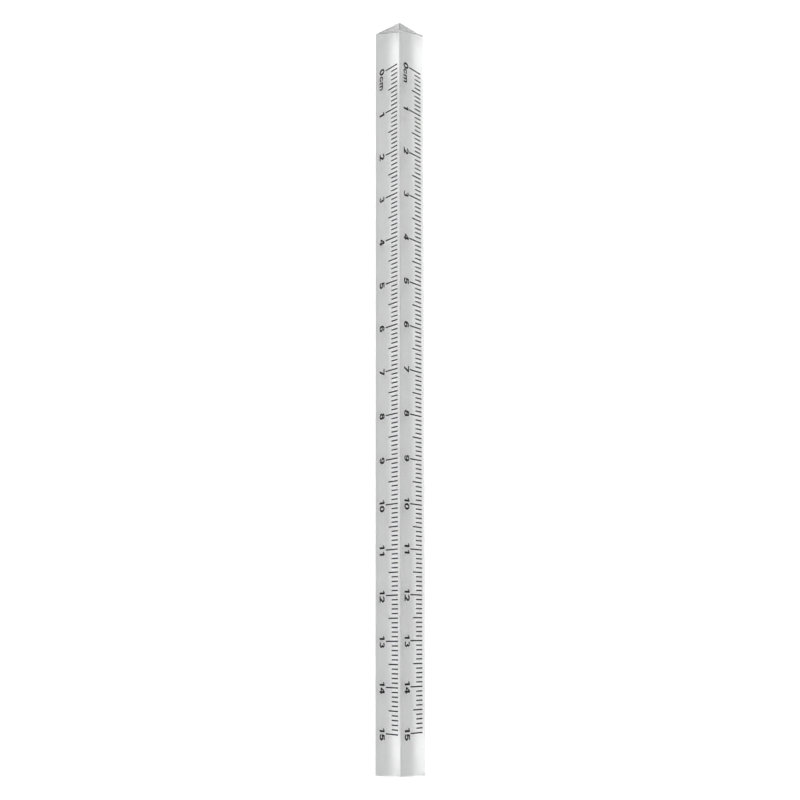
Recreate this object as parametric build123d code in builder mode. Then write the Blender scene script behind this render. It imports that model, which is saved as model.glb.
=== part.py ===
from build123d import *
import math
import os

# Triangular scale ruler: a solid clear bar with an equilateral section and a 15 cm scale
# printed on its two upper faces. Millimetres. The bar lies along X on its third, plain face,
# which is on Z = 0. The zero end is at -X. The origin is the centre of the resting face.

# Bar
side = 11.45  # between two sharp corners of the section, before the edges are rounded
bar_length = 169.85  # along the front edge, the longest
edge_radius = 0.22  # the three long edges
end_draft = 3.5  # degrees that each end leans in, from the resting face up
zero_end_skew = 3.0  # degrees that the zero end is out of square, its front corner reaching out
end_rounding = 0.12  # around both end faces

# Scale
scale_cm = 15
zero_margin = 10.45  # bare bar between its zero end and the zero mark, along the front edge
tick_width = 0.24
millimetre_tick = 2.65
half_centimetre_tick = 4.0
centimetre_tick = 5.2
ink_thickness = 0.03

# Where each face's ticks start, down from the sharp corner on their side. The two faces are
# printed one after the other, and the prints don't quite line up across or along the bar.
front_margin = 1.15
rear_margin = 1.85
rear_lag = -0.15  # of the rear print, along X

# Numerals
digit_height = 2.1
digit_width = 1.4
digit_stem = 0.4  # a stroke that runs down
digit_bar = 0.34  # a stroke that runs across
digit_pitch = 1.45  # between the middles of two digits of one number
front_drop = 7.95  # from the start of the front ticks down to the feet of the numerals
rear_drop = 7.72  # the same on the rear face
front_zero_shift = -0.18  # the zero stands a little before its tick, to leave room for the unit
rear_zero_shift = -0.02
front_pair_shift = 0.07  # a number of two digits, past its tick
rear_pair_shift = -0.02

# Unit, on the same base line as the numerals
letter_height = 1.45
letter_stroke = 0.3
letter_c_width = 1.25
letter_m_width = 1.75
letter_gap = 0.2
unit_start = 0.8  # from the zero tick to the left of the first letter

mm_per_cm = 10
scale_mm = scale_cm * mm_per_cm
scale_start_x = zero_margin - bar_length / 2
half_side = side / 2
sharp_height = side * math.sin(math.radians(60))
half_width = digit_width / 2
half_height = digit_height / 2


# Numerals and letters: flat shapes that stand on Y = 0, with their middles near X = 0.


def digit_zero():
    with BuildSketch() as glyph:
        with Locations((0, half_height)):
            Ellipse(half_width, half_height)
            Ellipse(half_width - digit_stem, half_height - digit_bar, mode=Mode.SUBTRACT)
    return glyph.sketch


def digit_one():
    stem_left = -0.05
    stem_right = stem_left + digit_stem
    flag_left = -0.45
    flag_top = digit_height - 0.32
    crook = 0.08  # where the flag runs into the stem
    with BuildSketch() as glyph:
        with BuildLine():
            Polyline(
                (stem_right, 0),
                (stem_right, digit_height),
                (stem_left + crook, digit_height),
                (flag_left, flag_top),
                (flag_left, flag_top - digit_bar),
                (stem_left, flag_top - crook),
                (stem_left, 0),
                close=True,
            )
        make_face()
    return glyph.sketch


def digit_two():
    bowl = (digit_width - digit_stem) / 2
    bowl_middle = (0, digit_height - digit_stem / 2 - bowl)
    heel = (digit_bar - bowl, digit_bar / 2)
    with BuildSketch() as glyph:
        with BuildLine():
            top = CenterArc(bowl_middle, bowl, 165, -205)
            Line(top @ 1, heel)
        trace(line_width=digit_stem)
        Rectangle(digit_width, digit_bar, align=(Align.CENTER, Align.MIN))
        # the slanting stroke's end is cut level with the base line
        Rectangle(2 * digit_width, digit_bar, align=(Align.CENTER, Align.MAX), mode=Mode.SUBTRACT)
    return glyph.sketch


def digit_three():
    upper_bowl = 0.41
    lower_bowl = (digit_height - digit_bar) / 2 - upper_bowl
    with BuildSketch() as glyph:
        with BuildLine():
            CenterArc((0, digit_height - digit_bar / 2 - upper_bowl), upper_bowl, 155, -245)
        trace(line_width=digit_bar)
        with BuildLine():
            CenterArc((0, digit_bar / 2 + lower_bowl), lower_bowl, 90, -245)
        trace(line_width=digit_bar)
    return glyph.sketch


def digit_four():
    stem_left = 0.08
    stem_right = stem_left + digit_stem
    stem_top_left = 0.03
    bar_bottom = 0.46
    bar_top = bar_bottom + digit_bar
    window_left = -0.35
    window_top = digit_height - 0.55
    with BuildSketch() as glyph:
        with BuildLine():
            Polyline(
                (stem_right, 0),
                (stem_right, bar_bottom),
                (half_width, bar_bottom),
                (half_width, bar_top),
                (stem_right, bar_top),
                (stem_right, digit_height),
                (stem_top_left, digit_height),
                (-half_width, bar_top),
                (-half_width, bar_bottom),
                (stem_left, bar_bottom),
                (stem_left, 0),
                close=True,
            )
        make_face()
        with BuildLine():
            Polyline((stem_left, bar_top), (stem_left, window_top), (window_left, bar_top), close=True)
        make_face(mode=Mode.SUBTRACT)
    return glyph.sketch


def digit_five():
    bowl = 0.53
    neck_right = 0.6
    neck_top_left = -0.5
    neck_foot_left = -0.62
    neck_foot_right = -0.3
    neck_foot = 0.85
    corner = (neck_top_left + digit_bar, digit_height - digit_bar)
    with BuildSketch() as glyph:
        with BuildLine():
            CenterArc((0, digit_stem / 2 + bowl), bowl, 140, -300)
        trace(line_width=digit_stem)
        with BuildLine():
            Polyline(
                (neck_right, digit_height),
                (neck_top_left, digit_height),
                (neck_foot_left, neck_foot),
                (neck_foot_right, neck_foot),
                corner,
                (neck_right, digit_height - digit_bar),
                close=True,
            )
        make_face()
    return glyph.sketch


def digit_six():
    half_bowl = 0.66
    opening = 0.9
    with BuildSketch() as glyph:
        with Locations((0, half_height)):
            Ellipse(half_width, half_height)
            Ellipse(half_width - digit_stem, half_height - digit_bar, mode=Mode.SUBTRACT)
        # the stroke is open on the right, between its hooked top and the bowl
        with Locations((0, half_bowl)):
            Rectangle(digit_width, opening, align=(Align.MIN, Align.MIN), mode=Mode.SUBTRACT)
        with Locations((0, half_bowl)):
            Ellipse(half_width, half_bowl)
            Ellipse(half_width - digit_stem, half_bowl - digit_bar, mode=Mode.SUBTRACT)
    return glyph.sketch


def digit_seven():
    foot_left = -0.42
    elbow_right = 0.24
    bar_bottom = digit_height - digit_bar
    with BuildSketch() as glyph:
        with BuildLine():
            Polyline(
                (-half_width, digit_height),
                (half_width, digit_height),
                (half_width, bar_bottom),
                (foot_left + digit_stem, 0),
                (foot_left, 0),
                (elbow_right, bar_bottom),
                (-half_width, bar_bottom),
                close=True,
            )
        make_face()
    return glyph.sketch


def digit_eight():
    upper_half_width = 0.62
    upper_half_height = 0.55
    lower_half_height = (digit_height + digit_bar) / 2 - upper_half_height
    upper_middle = (0, digit_height - upper_half_height)
    lower_middle = (0, lower_half_height)
    with BuildSketch() as glyph:
        with Locations(upper_middle):
            Ellipse(upper_half_width, upper_half_height)
        with Locations(lower_middle):
            Ellipse(half_width, lower_half_height)
        with Locations(upper_middle):
            Ellipse(
                upper_half_width - digit_stem, upper_half_height - digit_bar, mode=Mode.SUBTRACT
            )
        with Locations(lower_middle):
            Ellipse(half_width - digit_stem, lower_half_height - digit_bar, mode=Mode.SUBTRACT)
    return glyph.sketch


def digit_nine():
    with BuildSketch() as glyph:
        # a six upside down
        with Locations(Location((0, digit_height, 0), (0, 0, 180))):
            add(digit_six())
    return glyph.sketch


def letter_c():
    half_letter = letter_height / 2
    opening = 0.42
    with BuildSketch() as glyph:
        with Locations((0, half_letter)):
            Ellipse(letter_c_width / 2, half_letter)
            Ellipse(
                letter_c_width / 2 - letter_stroke, half_letter - letter_stroke, mode=Mode.SUBTRACT
            )
            Rectangle(letter_c_width, opening, align=(Align.MIN, Align.CENTER), mode=Mode.SUBTRACT)
    return glyph.sketch


def letter_m():
    stem_pitch = (letter_m_width - letter_stroke) / 2
    arch = stem_pitch / 2
    arch_height = letter_height - letter_stroke / 2 - arch
    with BuildSketch() as glyph:
        with Locations((-stem_pitch, 0)):
            Rectangle(letter_stroke, letter_height, align=(Align.CENTER, Align.MIN))
        for arch_middle in (-arch, arch):
            with BuildLine():
                top = CenterArc((arch_middle, arch_height), arch, 180, -180)
                Line(top @ 1, (arch_middle + arch, 0))
            trace(line_width=letter_stroke)
    return glyph.sketch


digits = [
    digit_zero(),
    digit_one(),
    digit_two(),
    digit_three(),
    digit_four(),
    digit_five(),
    digit_six(),
    digit_seven(),
    digit_eight(),
    digit_nine(),
]


# Bar: the section stands in the YZ plane and runs both ways along X, and is cut at both ends.
# Each end plane passes through a bottom corner of the bar and leans in from there.

end_lean = math.tan(math.radians(end_draft))
zero_end = Plane(
    origin=(-bar_length / 2, -half_side, 0),
    z_dir=(-1, math.tan(math.radians(zero_end_skew)), end_lean),
)
far_end = Plane(origin=(bar_length / 2, 0, 0), z_dir=(1, 0, end_lean))

os.makedirs("parts", exist_ok=True)

with BuildPart() as ruler_body:
    with BuildSketch(Plane.YZ):
        with BuildLine():
            Polyline((-half_side, 0), (half_side, 0), (0, sharp_height), close=True)
        make_face()
        fillet(vertices(), radius=edge_radius)
    extrude(amount=bar_length, both=True)
    split(bisect_by=zero_end, keep=Keep.BOTTOM)
    split(bisect_by=far_end, keep=Keep.BOTTOM)
    end_faces = faces().sort_by(Axis.X)
    fillet(end_faces[0].edges() + end_faces[-1].edges(), radius=end_rounding)
ruler_body.part.label = "ruler_body"
export_step(ruler_body.part, "parts/ruler_body.step")


# Print. On each printed face X runs along the scale from the zero mark, and Y = 0 is the sharp
# corner on the ticks' side, with the ticks hanging down from it towards -Y.

slope = math.radians(30)  # of each printed face's outward normal, above the horizontal

front_face = Plane(
    origin=(scale_start_x, 0, sharp_height),
    x_dir=(1, 0, 0),
    z_dir=(0, -math.cos(slope), math.sin(slope)),
)
rear_face = Plane(
    origin=(scale_start_x + rear_lag, half_side, 0),
    x_dir=(1, 0, 0),
    z_dir=(0, math.cos(slope), math.sin(slope)),
)


def print_ticks(face, margin, marks, tick_length, name):
    with BuildPart() as ticks:
        with BuildSketch(face):
            with Locations([(mark, -margin) for mark in marks]):
                Rectangle(tick_width, tick_length, align=(Align.CENTER, Align.MAX))
        extrude(amount=ink_thickness)
    ticks.part.label = name
    export_step(ticks.part, f"parts/{name}.step")


def print_numerals(face, base_line, zero_shift, pair_shift, name):
    with BuildPart() as numerals:
        with BuildSketch(face):
            with Locations((zero_shift, base_line)):
                add(digits[0])
            for number in range(1, 10):
                with Locations((number * mm_per_cm, base_line)):
                    add(digits[number])
            for number in range(10, scale_cm + 1):
                tens_x = number * mm_per_cm + pair_shift - digit_pitch / 2
                with Locations((tens_x, base_line)):
                    add(digits[number // 10])
                with Locations((tens_x + digit_pitch, base_line)):
                    add(digits[number % 10])
        extrude(amount=ink_thickness)
    numerals.part.label = name
    export_step(numerals.part, f"parts/{name}.step")


def print_unit(face, base_line, name):
    c_middle = unit_start + letter_c_width / 2
    m_middle = unit_start + letter_c_width + letter_gap + letter_m_width / 2
    with BuildPart() as unit:
        with BuildSketch(face):
            with Locations((c_middle, base_line)):
                add(letter_c())
            with Locations((m_middle, base_line)):
                add(letter_m())
        extrude(amount=ink_thickness)
    unit.part.label = name
    export_step(unit.part, f"parts/{name}.step")


centimetres = range(0, scale_mm + 1, mm_per_cm)
half_centimetres = range(mm_per_cm // 2, scale_mm, mm_per_cm)
millimetres = [
    mark for mark in range(scale_mm) if mark not in centimetres and mark not in half_centimetres
]

for side_name, face, margin, drop, zero_shift, pair_shift in (
    ("front", front_face, front_margin, front_drop, front_zero_shift, front_pair_shift),
    ("rear", rear_face, rear_margin, rear_drop, rear_zero_shift, rear_pair_shift),
):
    print_ticks(face, margin, millimetres, millimetre_tick, f"{side_name}_millimetre_ticks")
    print_ticks(
        face, margin, half_centimetres, half_centimetre_tick, f"{side_name}_half_centimetre_ticks"
    )
    print_ticks(face, margin, centimetres, centimetre_tick, f"{side_name}_centimetre_ticks")
    base_line = -margin - drop
    print_numerals(face, base_line, zero_shift, pair_shift, f"{side_name}_numerals")
    print_unit(face, base_line, f"{side_name}_unit_label")
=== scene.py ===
import math

import bmesh
import bpy
from mathutils import Matrix, Vector


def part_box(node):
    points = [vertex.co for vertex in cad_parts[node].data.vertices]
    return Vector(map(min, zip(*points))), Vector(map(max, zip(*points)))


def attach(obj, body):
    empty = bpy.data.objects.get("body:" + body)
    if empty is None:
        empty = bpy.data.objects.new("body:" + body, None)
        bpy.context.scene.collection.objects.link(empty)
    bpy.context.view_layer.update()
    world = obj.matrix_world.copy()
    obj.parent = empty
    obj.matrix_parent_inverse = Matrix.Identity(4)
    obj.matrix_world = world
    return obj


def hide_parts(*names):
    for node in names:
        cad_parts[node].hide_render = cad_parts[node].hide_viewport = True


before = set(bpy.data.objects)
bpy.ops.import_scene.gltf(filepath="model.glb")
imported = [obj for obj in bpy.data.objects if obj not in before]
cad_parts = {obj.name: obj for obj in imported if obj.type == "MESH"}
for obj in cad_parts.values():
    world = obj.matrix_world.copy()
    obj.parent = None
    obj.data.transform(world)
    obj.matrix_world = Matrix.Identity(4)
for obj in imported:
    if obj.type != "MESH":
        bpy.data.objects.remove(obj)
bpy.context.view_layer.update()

# The ruler lies along X with its zero end at -X, on its plain face. Lengths are in metres, or in
# millimetres where a comment says so.

MM = 0.001

# Bar. The section's side and edge radius follow from the width and height of the CAD bar.
BAR = "ruler_body"
CORNER_STEPS = 14  # facets around one long edge
END_BEVEL = 0.12 * MM  # radius of the rounding of an end face
END_STEPS = 5  # facets across the rounding of an end face
END_DRAFT = math.radians(3.5)
ZERO_END_SKEW = math.radians(3.0)
FACE_TILT = math.radians(60)  # of the two printed faces from the horizontal
WELD = 0.001 * MM  # points of the print nearer than this are joined
INK_BED = 0.012 * MM  # how deep a printed mark reaches into the bar
END_SLOT = 1  # the place of the end faces' finish among the bar's materials

# Camera
CAMERA_PLACE = Vector((54.515, -1.355, 363.85)) * MM
CAMERA_AIM = Vector((7.495, 0.0, 0.0)) * MM
CAMERA_ROLL = math.radians(0.092)
CAMERA_LENS = 73.02  # mm
CAMERA_SENSOR = 36  # mm, the width of its frame
CAMERA_RANGE = (0.01, 20)  # the nearest and farthest things it shows
CAMERA_RISE = 0.0337  # of the frame: the lens is shifted up to centre the ruler
CONTRAST = 0.70  # gamma of the view: below 1 it deepens the greys

# Light: (degrees from overhead towards +Y, brightness)
SKY = (
    (-88, 1.22),
    (-76, 1.12),
    (-56, 2.05),
    (-28, 1.05),
    (-6, 0.57),
    (3, 0.66),
    (20, 0.5),
    (48, 1.08),
    (68, 0.22),
    (88, 0.72),
)
SKY_PEAK = max(glow for degrees, glow in SKY)
END_GLOW = 1.0  # brightness of the sky beyond either end of the ruler
END_REACH = (0.45, 0.95)  # how near to the X axis a direction is where that glow starts and is full
BACKDROP = 1.1  # brightness of the backdrop where the camera sees it directly

# Floor
FLOOR_SIZE = 30.0
FLOOR_GAP = 0.02 * MM  # keeps the floor out of the bar's resting face
FLOOR_SHADE = (0.893, 0.907)  # darkest and lightest of the paper's tooth
FLOOR_PAINTED_GLOW = 0.5  # brightness of the painted glow the paper gives off all round the bar's footprint, washing out its shadows
PAINTED_GLOW_START = (-0.3, 0.2)  # mm past the footprint's edge where that painted glow starts and is full

# Materials
PLASTIC_INDEX = 1.49
HAZE_COLOUR = (0.50, 0.53, 0.55, 1)  # what the plastic lets through
HAZE_DENSITY = 4.0  # per metre
SCRATCH_ROUGHNESS = 0.16
WEAR_ROUGHNESS = 0.22  # along the long edges
SMEAR_ROUGHNESS = (0.004, 0.035)  # of clean and of handled plastic
FROST_ROUGHNESS = (0.38, 0.56)  # of the end faces
RIDGE_WEAR = (0.55, 0.1)  # mm below the ridge where the wear starts and is full
SIDE_WEAR = 0.3  # mm in from the two lower edges where the wear starts
INK_SHADE = (0.004, 0.012)  # darkest and lightest of the even ink
INK_ROUGHNESS = (0.42, 0.62)
PINHOLE_SHADE = 0.03  # how much lighter the ink is in a pinhole


def new_object(name, mesh):
    thing = bpy.data.objects.new(name, mesh)
    bpy.context.scene.collection.objects.link(thing)
    return thing


def bar_sizes():
    """The CAD bar's two corners, the side of its sharp section and the radius of its long edges."""
    low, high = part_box(BAR)
    width = high.y - low.y
    height = high.z - low.z
    radius = (height - width * math.sqrt(3) / 2) / (2 - math.sqrt(3))
    side = width + 2 * (math.sqrt(3) - 1) * radius
    return low, high, side, radius


def section_outline(side, radius, inset):
    """The rounded triangle moved in by inset, anticlockwise seen from +X, as (place, outward) pairs."""
    middles = (
        (side / 2 - math.sqrt(3) * radius, radius, -90),
        (0, side * math.sqrt(3) / 2 - 2 * radius, 30),
        (math.sqrt(3) * radius - side / 2, radius, 150),
    )
    outline = []
    for middle_y, middle_z, start in middles:
        for step in range(CORNER_STEPS + 1):
            angle = math.radians(start + 120 * step / CORNER_STEPS)
            outward = Vector((0, math.cos(angle), math.sin(angle)))
            outline.append((Vector((0, middle_y, middle_z)) + outward * (radius - inset), outward))
    return outline


def end_rings(corner, inwards, skew, side, radius):
    """Rings of (place, normal) that round one end, from its face to the full section."""
    end_normal = Vector((-inwards, math.tan(skew), math.tan(END_DRAFT))).normalized()
    rings = []
    for step in range(END_STEPS + 1):
        turn = math.pi / 2 * step / END_STEPS
        inset = END_BEVEL * (1 - math.sin(turn))
        depth = END_BEVEL * (1 - math.cos(turn))
        ring = []
        for place, outward in section_outline(side, radius, inset):
            lean = max(place.z - END_BEVEL, 0) * math.tan(END_DRAFT)
            lean += max(place.y - corner.y, 0) * math.tan(skew)
            place.x = corner.x + inwards * (depth + lean)
            ring.append((place, (outward * math.sin(turn) + end_normal * math.cos(turn)).normalized()))
        rings.append(ring)
    return rings


def make_bar():
    """The bar, with the true normal at each point, so that its flats stay flat and its edges round."""
    low, high, side, radius = bar_sizes()
    rings = end_rings(low, 1, ZERO_END_SKEW, side, radius)
    rings += reversed(end_rings(high, -1, 0, side, radius))
    bar = bmesh.new()
    loops = [[bar.verts.new(place) for place, normal in ring] for ring in rings]
    for near, far in zip(loops, loops[1:]):
        for index in range(len(near)):
            after = (index + 1) % len(near)
            bar.faces.new((near[index], near[after], far[after], far[index]))
    for loop in (loops[0], loops[-1]):
        bar.faces.new(loop).material_index = END_SLOT
    bmesh.ops.recalc_face_normals(bar, faces=bar.faces)
    for face in bar.faces:
        face.smooth = True
    mesh = bpy.data.meshes.new("clear_bar")
    bar.to_mesh(mesh)
    bar.free()
    mesh.normals_split_custom_set_from_vertices([normal for ring in rings for place, normal in ring])
    return new_object("clear_bar", mesh)


def make_print(name):
    """A copy of one printed CAD node, let into the bar so that no faces of the two coincide."""
    marks = bmesh.new()
    marks.from_mesh(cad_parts[name].data)
    bmesh.ops.remove_doubles(marks, verts=marks.verts, dist=WELD)
    side = -1 if name.startswith("front") else 1
    outward = Vector((0, side * math.sin(FACE_TILT), math.cos(FACE_TILT)))
    bmesh.ops.translate(marks, verts=marks.verts, vec=-INK_BED * outward)
    mesh = bpy.data.meshes.new(name + "_ink")
    marks.to_mesh(mesh)
    marks.free()
    piece = new_object(name + "_ink", mesh)
    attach(piece, "root")
    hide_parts(name)
    return piece


def new_material(name, **values):
    """A material, its nodes, its shader with the named inputs set, and places in millimetres."""
    material = bpy.data.materials.new(name)
    material.use_nodes = True
    tree = material.node_tree
    shader = tree.nodes["Principled BSDF"]
    for key, value in values.items():
        shader.inputs[key.replace("_", " ")].default_value = value
    place = tree.nodes.new("ShaderNodeTexCoord")
    millimetres = tree.nodes.new("ShaderNodeVectorMath")
    millimetres.operation = "SCALE"
    millimetres.inputs["Scale"].default_value = 1 / MM
    tree.links.new(place.outputs["Object"], millimetres.inputs[0])
    return material, tree, shader, millimetres.outputs["Vector"]


def grain(tree, place, sizes, detail=2.0, roughness=0.5):
    """Noise whose features measure sizes (x, y, z) in millimetres."""
    stretch = tree.nodes.new("ShaderNodeVectorMath")
    stretch.operation = "DIVIDE"
    tree.links.new(place, stretch.inputs[0])
    stretch.inputs[1].default_value = sizes
    noise = tree.nodes.new("ShaderNodeTexNoise")
    noise.inputs["Scale"].default_value = 1.0
    noise.inputs["Detail"].default_value = detail
    noise.inputs["Roughness"].default_value = roughness
    tree.links.new(stretch.outputs["Vector"], noise.inputs["Vector"])
    return noise.outputs["Fac"]


def remap(tree, value, low, high, to_low=0.0, to_high=1.0, curve="SMOOTHSTEP"):
    """The value's range low to high, spread over to_low to to_high and held beyond it."""
    node = tree.nodes.new("ShaderNodeMapRange")
    node.interpolation_type = curve
    node.inputs["From Min"].default_value = low
    node.inputs["From Max"].default_value = high
    node.inputs["To Min"].default_value = to_low
    node.inputs["To Max"].default_value = to_high
    tree.links.new(value, node.inputs["Value"])
    return node.outputs["Result"]


def calculate(tree, operation, first, second=None):
    """The result of a maths node on one or two sockets or numbers."""
    node = tree.nodes.new("ShaderNodeMath")
    node.operation = operation
    for index, value in enumerate((first, second)):
        if isinstance(value, (int, float)):
            node.inputs[index].default_value = value
        elif value is not None:
            tree.links.new(value, node.inputs[index])
    return node.outputs["Value"]


def bump(tree, shader, layers):
    """Chains bumps of (height, depth in millimetres) into the shader's normal."""
    normal = None
    for height, depth in layers:
        node = tree.nodes.new("ShaderNodeBump")
        node.inputs["Distance"].default_value = depth * MM
        tree.links.new(height, node.inputs["Height"])
        if normal:
            tree.links.new(normal, node.inputs["Normal"])
        normal = node.outputs["Normal"]
    tree.links.new(normal, shader.inputs["Normal"])


def paint_grey(tree, shader, shade):
    """Gives the shader a neutral colour as light as shade says."""
    colour = tree.nodes.new("ShaderNodeCombineColor")
    for channel in ("Red", "Green", "Blue"):
        tree.links.new(shade, colour.inputs[channel])
    tree.links.new(colour.outputs["Color"], shader.inputs["Base Color"])


def new_plastic(name):
    """Clear plastic with a slight grey haze, before its surface is worked."""
    material, tree, shader, place = new_material(
        name, Base_Color=(1, 1, 1, 1), Transmission_Weight=1.0, IOR=PLASTIC_INDEX
    )
    haze = tree.nodes.new("ShaderNodeVolumeAbsorption")
    haze.inputs["Color"].default_value = HAZE_COLOUR
    haze.inputs["Density"].default_value = HAZE_DENSITY
    tree.links.new(haze.outputs["Volume"], tree.nodes["Material Output"].inputs["Volume"])
    return material, tree, shader, place


def edge_wear(tree, place, width, height):
    """1 along the three long edges and 0 on the faces, broken up along the bar."""
    axes = tree.nodes.new("ShaderNodeSeparateXYZ")
    tree.links.new(place, axes.inputs["Vector"])
    ridge = remap(tree, axes.outputs["Z"], height - RIDGE_WEAR[0], height - RIDGE_WEAR[1])
    across = calculate(tree, "ABSOLUTE", axes.outputs["Y"])
    sides = remap(tree, across, width / 2 - SIDE_WEAR, width / 2)
    edges = calculate(tree, "MAXIMUM", ridge, sides)
    rubbed = remap(tree, grain(tree, place, (2.5, 0.6, 0.6), detail=4.0), 0.48, 0.66)
    return calculate(tree, "MULTIPLY", edges, rubbed)


def clear_plastic():
    """Polished moulded plastic: faint mould waves, hairline scratches, finger marks, rubbed edges."""
    material, tree, shader, place = new_plastic("clear_plastic")
    low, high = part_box(BAR)
    wear = edge_wear(tree, place, (high.y - low.y) / MM, high.z / MM)
    waves = grain(tree, place, (14.0, 3.5, 3.5), detail=1.0)
    scratches = remap(tree, grain(tree, place, (9.0, 0.07, 0.07)), 0.67, 0.76)
    nicks = remap(tree, grain(tree, place, (0.35, 0.25, 0.25)), 0.72, 0.80)
    handled = grain(tree, place, (9.0, 4.0, 4.0), detail=5.0, roughness=0.65)
    smears = remap(tree, handled, 0.50, 0.75, *SMEAR_ROUGHNESS)
    scratched = calculate(tree, "MULTIPLY", scratches, SCRATCH_ROUGHNESS)
    marks = calculate(tree, "MAXIMUM", scratched, smears)
    rubbed = calculate(tree, "MULTIPLY", wear, WEAR_ROUGHNESS)
    tree.links.new(calculate(tree, "MAXIMUM", marks, rubbed), shader.inputs["Roughness"])
    bump(tree, shader, ((waves, 0.004), (scratches, -0.002), (nicks, -0.002), (wear, -0.004)))
    return material


def end_finish():
    """The bar's end faces: frosted, with the fine parallel lines of the tool that trimmed them."""
    material, tree, shader, place = new_plastic("end_finish")
    lines = grain(tree, place, (4.0, 0.05, 3.0), detail=3.0, roughness=0.6)
    pits = grain(tree, place, (0.12, 0.12, 0.12), detail=3.0)
    cloud = grain(tree, place, (1.6, 1.6, 1.6), detail=3.0)
    frost = remap(tree, cloud, 0.35, 0.65, *FROST_ROUGHNESS)
    tree.links.new(frost, shader.inputs["Roughness"])
    bump(tree, shader, ((lines, 0.003), (pits, 0.002)))
    return material


def black_ink():
    """Hot-stamped black: semi-matt, a little uneven, thin in a few pinholes."""
    material, tree, shader, place = new_material("black_ink", Specular_IOR_Level=0.25)
    cover = grain(tree, place, (0.5, 0.5, 0.5), detail=3.0)
    pinholes = remap(tree, grain(tree, place, (0.11, 0.11, 0.11), detail=1.0), 0.70, 0.78)
    even_shade = remap(tree, cover, 0.35, 0.70, *INK_SHADE)
    thin_shade = calculate(tree, "MULTIPLY", pinholes, PINHOLE_SHADE)
    paint_grey(tree, shader, calculate(tree, "ADD", even_shade, thin_shade))
    tree.links.new(remap(tree, cover, 0.30, 0.70, *INK_ROUGHNESS), shader.inputs["Roughness"])
    bump(tree, shader, ((cover, 0.006), (pinholes, -0.004)))
    return material


def paper_with_painted_glow():
    """Smooth white paper with a barely visible tooth, and a painted glow all round the bar's footprint.
    """
    material, tree, shader, place = new_material(
        "paper_with_painted_glow", Roughness=1.0, Specular_IOR_Level=0.0, Emission_Color=(1, 1, 1, 1)
    )
    tooth = grain(tree, place, (0.4, 0.4, 0.4), detail=3.0)
    paint_grey(tree, shader, remap(tree, tooth, 0.2, 0.8, *FLOOR_SHADE))
    axes = tree.nodes.new("ShaderNodeSeparateXYZ")
    tree.links.new(place, axes.inputs["Vector"])
    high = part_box(BAR)[1] / MM
    past_end = calculate(tree, "SUBTRACT", calculate(tree, "ABSOLUTE", axes.outputs["X"]), high.x)
    past_side = calculate(tree, "SUBTRACT", calculate(tree, "ABSOLUTE", axes.outputs["Y"]), high.y)
    past = calculate(tree, "MAXIMUM", past_end, past_side)
    # painted glow: the paper emits light outside the bar's footprint but not under it, so the bar's
    # soft shadows on it wash out
    glow = remap(tree, past, *PAINTED_GLOW_START, 0.0, FLOOR_PAINTED_GLOW)
    tree.links.new(glow, shader.inputs["Emission Strength"])
    bump(tree, shader, ((tooth, 0.01),))
    return material


def make_floor():
    mesh = bpy.data.meshes.new("floor")
    half = FLOOR_SIZE / 2
    corners = [(-half, -half), (half, -half), (half, half), (-half, half)]
    mesh.from_pydata([(x, y, -FLOOR_GAP) for x, y in corners], [], [(0, 1, 2, 3)])
    mesh.materials.append(paper_with_painted_glow())
    new_object("floor", mesh)


def make_camera():
    data = bpy.data.cameras.new("camera")
    data.lens = CAMERA_LENS
    data.sensor_width = CAMERA_SENSOR
    data.shift_y = CAMERA_RISE
    data.clip_start, data.clip_end = CAMERA_RANGE
    camera = bpy.data.objects.new("camera", data)
    bpy.context.scene.collection.objects.link(camera)
    ahead = (CAMERA_AIM - CAMERA_PLACE).normalized()
    right = ahead.cross(Vector((-1, 0, 0))).normalized()
    up = right.cross(ahead)
    turn = Matrix.Rotation(CAMERA_ROLL, 3, ahead)
    axes = Matrix((turn @ right, turn @ up, -ahead)).transposed()
    camera.matrix_world = Matrix.Translation(CAMERA_PLACE) @ axes.to_4x4()
    bpy.context.scene.camera = camera


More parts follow.
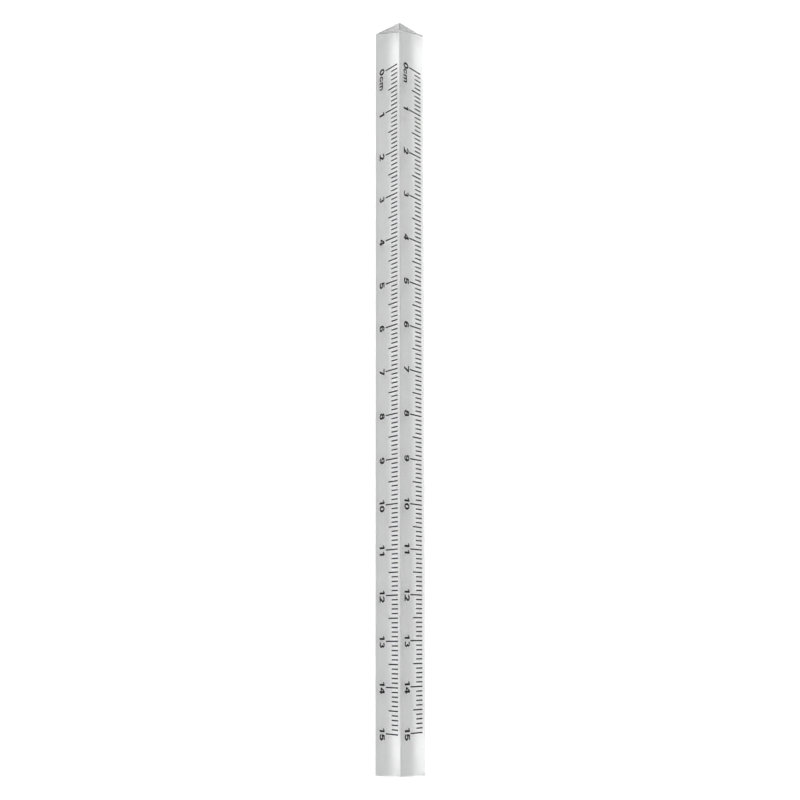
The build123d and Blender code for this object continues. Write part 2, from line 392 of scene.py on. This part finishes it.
def make_light():
    """A studio sky whose brightness depends on the angle from overhead, measured towards +Y.

    It blends into an even glow beyond the ruler's two ends, and into a plain backdrop for the camera.
    """
    world = bpy.data.worlds.new("studio")
    world.use_nodes = True
    tree = world.node_tree
    direction = tree.nodes.new("ShaderNodeTexCoord")
    axes = tree.nodes.new("ShaderNodeSeparateXYZ")
    tree.links.new(direction.outputs["Generated"], axes.inputs["Vector"])
    angle = calculate(tree, "ARCTAN2", axes.outputs["Y"], axes.outputs["Z"])
    spread = remap(tree, angle, -math.pi / 2, math.pi / 2, curve="LINEAR")
    ramp = tree.nodes.new("ShaderNodeValToRGB")
    ramp.color_ramp.interpolation = "EASE"
    stops = ramp.color_ramp.elements
    stops.remove(stops[-1])
    for degrees, glow in SKY:
        stop = stops.new((degrees + 90) / 180)
        stop.color = (glow / SKY_PEAK, glow / SKY_PEAK, glow / SKY_PEAK, 1)
    stops.remove(stops[0])
    tree.links.new(spread, ramp.inputs["Fac"])
    background = tree.nodes["Background"]
    tree.links.new(ramp.outputs["Color"], background.inputs["Color"])
    background.inputs["Strength"].default_value = SKY_PEAK
    sky = background.outputs["Background"]
    beyond_ends = remap(tree, calculate(tree, "ABSOLUTE", axes.outputs["X"]), *END_REACH)
    seen = tree.nodes.new("ShaderNodeLightPath").outputs["Is Camera Ray"]
    for share, glow in ((beyond_ends, END_GLOW), (seen, BACKDROP)):
        white = tree.nodes.new("ShaderNodeBackground")
        white.inputs["Color"].default_value = (1, 1, 1, 1)
        white.inputs["Strength"].default_value = glow
        mix = tree.nodes.new("ShaderNodeMixShader")
        tree.links.new(share, mix.inputs[0])
        tree.links.new(sky, mix.inputs[1])
        tree.links.new(white.outputs["Background"], mix.inputs[2])
        sky = mix.outputs["Shader"]
    tree.links.new(sky, tree.nodes["World Output"].inputs["Surface"])
    bpy.context.scene.world = world


def set_view():
    """The picture's contrast, and enough bounces for the light that leaves through the end faces."""
    scene = bpy.context.scene
    scene.view_settings.view_transform = "Standard"
    scene.view_settings.gamma = CONTRAST
    scene.cycles.max_bounces = 64
    scene.cycles.transmission_bounces = 64
    scene.cycles.diffuse_bounces = 6
    scene.cycles.glossy_bounces = 48
    scene.cycles.blur_glossy = 0.0
    scene.cycles.sample_clamp_indirect = 0.0


make_camera()
make_light()
make_floor()
set_view()

bar = make_bar()
bar.data.materials.append(clear_plastic())
bar.data.materials.append(end_finish())
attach(bar, "root")
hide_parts(BAR)

ink = black_ink()
for name in sorted(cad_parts):
    if name != BAR:
        make_print(name).data.materials.append(ink)
